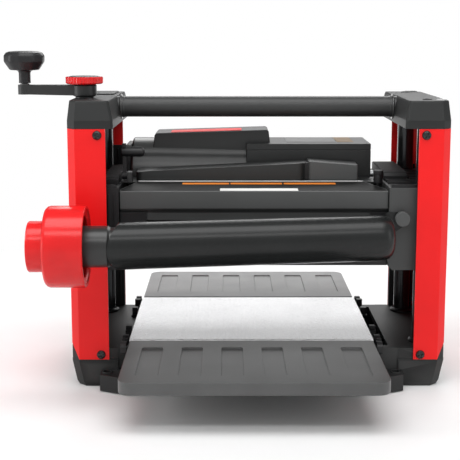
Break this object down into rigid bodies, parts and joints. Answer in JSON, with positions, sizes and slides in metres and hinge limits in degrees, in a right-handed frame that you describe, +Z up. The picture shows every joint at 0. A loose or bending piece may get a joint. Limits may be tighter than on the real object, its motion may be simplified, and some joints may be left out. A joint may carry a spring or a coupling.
{
  "type": "thickness planer",
  "caption": "Benchtop thickness planer: cutterhead and feed rollers in a crank-raised head on guide columns, with folding tables and a side dust port.",
  "frame": {"origin": "centre of the base's underside, midway between the side panels, on the surface the machine stands on", "axes": "+Z up from that surface; +X along the cutterhead towards the drive side, away from the crank; +Y towards the infeed side, so boards travel along -Y"},
  "size_m": [0.598, 0.636, 0.45],
  "materials": {
    "cast_grey": "matte",
    "cover_steel": "matte",
    "bed_steel": "satin",
    "ground_steel": "satin",
    "red_paint": "satin",
    "red_plastic": "satin",
    "bar_paint": "satin",
    "black_steel": "satin",
    "chain_steel": "satin",
    "crank_metal": "satin",
    "black_plastic": "matte",
    "hood_paint": "satin",
    "dark_plastic": "satin",
    "bronze": "satin",
    "belt_rubber": "matte",
    "drum_steel": "satin",
    "knife_steel": "polished"
  },
  "bodies": {
    "frame": {"base": "cast_grey", "bottom_cover": "cover_steel", "bed_plate": "bed_steel", "column_left_outfeed": "ground_steel", "column_left_infeed": "ground_steel", "column_right_outfeed": "ground_steel", "column_right_infeed": "ground_steel", "side_panel_left": "red_paint", "side_panel_right": "red_paint", "cap_left": "cast_grey", "cap_right": "cast_grey", "carry_bar": "bar_paint", "panel_screw_left_lower": "black_steel", "panel_screw_left_upper": "black_steel", "panel_screw_right_lower": "black_steel", "panel_screw_right_upper": "black_steel", "table_hinge_left_outfeed": "black_steel", "table_hinge_left_infeed": "black_steel", "table_hinge_right_outfeed": "black_steel", "table_hinge_right_infeed": "black_steel", "lift_chain": "chain_steel"},
    "crank": {"lead_screw_left": "ground_steel", "crank_arm": "crank_metal", "crank_lock_knob": "red_plastic"},
    "crank_handle": {"crank_knob": "black_plastic"},
    "right_screw": {"lead_screw_right": "ground_steel"},
    "outfeed_table": {"outfeed_table": "cast_grey"},
    "infeed_table": {"infeed_table": "cast_grey"},
    "head": {"head_end_left": "cast_grey", "head_end_right": "cast_grey", "hood_panel": "hood_paint", "outfeed_guard": "hood_paint", "infeed_guard": "hood_paint", "head_deck": "hood_paint", "duct_cover": "dark_plastic", "motor_housing": "dark_plastic", "drive_box": "dark_plastic", "belt_cover": "black_plastic", "gear_cover": "black_plastic", "lift_nut_left": "bronze", "lift_nut_right": "bronze", "dust_chute": "dark_plastic", "chute_adapter": "dark_plastic", "dust_port": "red_plastic", "drive_belt": "belt_rubber", "feed_chain": "chain_steel", "cord_gland": "black_plastic", "switch_housing": "black_plastic", "lock_bracket": "black_steel"},
    "cutterhead": {"cutterhead": "drum_steel", "knife_upper": "knife_steel", "knife_lower": "knife_steel"},
    "motor": {"motor_rotor": "drum_steel"},
    "feed_gear": {"feed_gear": "drum_steel"},
    "infeed_roller": {"infeed_roller": "belt_rubber"},
    "outfeed_roller": {"outfeed_roller": "belt_rubber"},
    "lock_lever": {"lock_lever": "black_plastic"},
    "chute_knob": {"chute_knob": "black_plastic"},
    "hood_knob": {"hood_knob": "black_plastic"},
    "switch_paddle": {"switch_paddle": "red_plastic"}
  },
  "joints": [
    {"name": "crank_turn", "type": "hinge", "parent": "frame", "child": "crank", "pos_m": [-0.2365, -0.056, 0.39], "axis": [0, 0, 1], "range_deg": [-21300, 12760]},
    {"name": "right_screw_turn", "type": "hinge", "parent": "frame", "child": "right_screw", "pos_m": [0.2365, -0.056, 0.2], "axis": [0, 0, 1], "range_deg": [-21300, 12760]},
    {"name": "head_lift", "type": "slide", "parent": "frame", "child": "head", "axis": [0, 0, 1], "range_m": [-0.0935, 0.056]},
    {"name": "crank_knob_spin", "type": "hinge", "parent": "crank", "child": "crank_handle", "pos_m": [-0.3175, -0.056, 0.42], "axis": [0, 0, 1], "continuous": true},
    {"name": "outfeed_table_fold", "type": "hinge", "parent": "frame", "child": "outfeed_table", "pos_m": [-0.0093, -0.136, 0.057], "axis": [-1, 0, 0], "range_deg": [0, 50]},
    {"name": "infeed_table_fold", "type": "hinge", "parent": "frame", "child": "infeed_table", "pos_m": [-0.0093, 0.136, 0.057], "axis": [1, 0, 0], "range_deg": [0, 90]},
    {"name": "cutterhead_spin", "type": "hinge", "parent": "head", "child": "cutterhead", "pos_m": [0, 0, 0.1855], "axis": [1, 0, 0], "continuous": true},
    {"name": "motor_spin", "type": "hinge", "parent": "head", "child": "motor", "pos_m": [0, 0.07, 0.266], "axis": [1, 0, 0], "continuous": true},
    {"name": "feed_gear_spin", "type": "hinge", "parent": "head", "child": "feed_gear", "pos_m": [-0.2, 0, 0.2288], "axis": [1, 0, 0], "continuous": true},
    {"name": "infeed_roller_spin", "type": "hinge", "parent": "head", "child": "infeed_roller", "pos_m": [0, 0.05, 0.1795], "axis": [1, 0, 0], "continuous": true},
    {"name": "outfeed_roller_spin", "type": "hinge", "parent": "head", "child": "outfeed_roller", "pos_m": [0, -0.05, 0.1795], "axis": [1, 0, 0], "continuous": true},
    {"name": "lock_lever_swing", "type": "hinge", "parent": "head", "child": "lock_lever", "pos_m": [-0.184, -0.05, 0.279], "axis": [1, 0, 0], "range_deg": [0, 60]},
    {"name": "chute_knob_turn", "type": "hinge", "parent": "head", "child": "chute_knob", "pos_m": [0.192, -0.12, 0.2295], "axis": [0, -1, 0], "continuous": true},
    {"name": "hood_knob_turn", "type": "hinge", "parent": "head", "child": "hood_knob", "pos_m": [0.166, -0.06, 0.28], "axis": [0, 0, 1], "continuous": true},
    {"name": "switch_paddle_press", "type": "hinge", "parent": "head", "child": "switch_paddle", "pos_m": [0.12, 0.138, 0.299], "axis": [-1, 0, 0], "range_deg": [0, 5], "stiffness_Nm_per_rad": 0.05, "springref_deg": -5.73}
  ],
  "couplings": [
    {"joint": "crank_turn", "follows": "head_lift", "rad_per_m": 3957.9},
    {"joint": "right_screw_turn", "follows": "head_lift", "rad_per_m": 3957.9},
    {"joint": "motor_spin", "follows": "cutterhead_spin", "ratio": 2},
    {"joint": "feed_gear_spin", "follows": "cutterhead_spin", "ratio": -0.13158},
    {"joint": "infeed_roller_spin", "follows": "cutterhead_spin", "ratio": -0.04644},
    {"joint": "outfeed_roller_spin", "follows": "cutterhead_spin", "ratio": -0.04644}
  ]
}
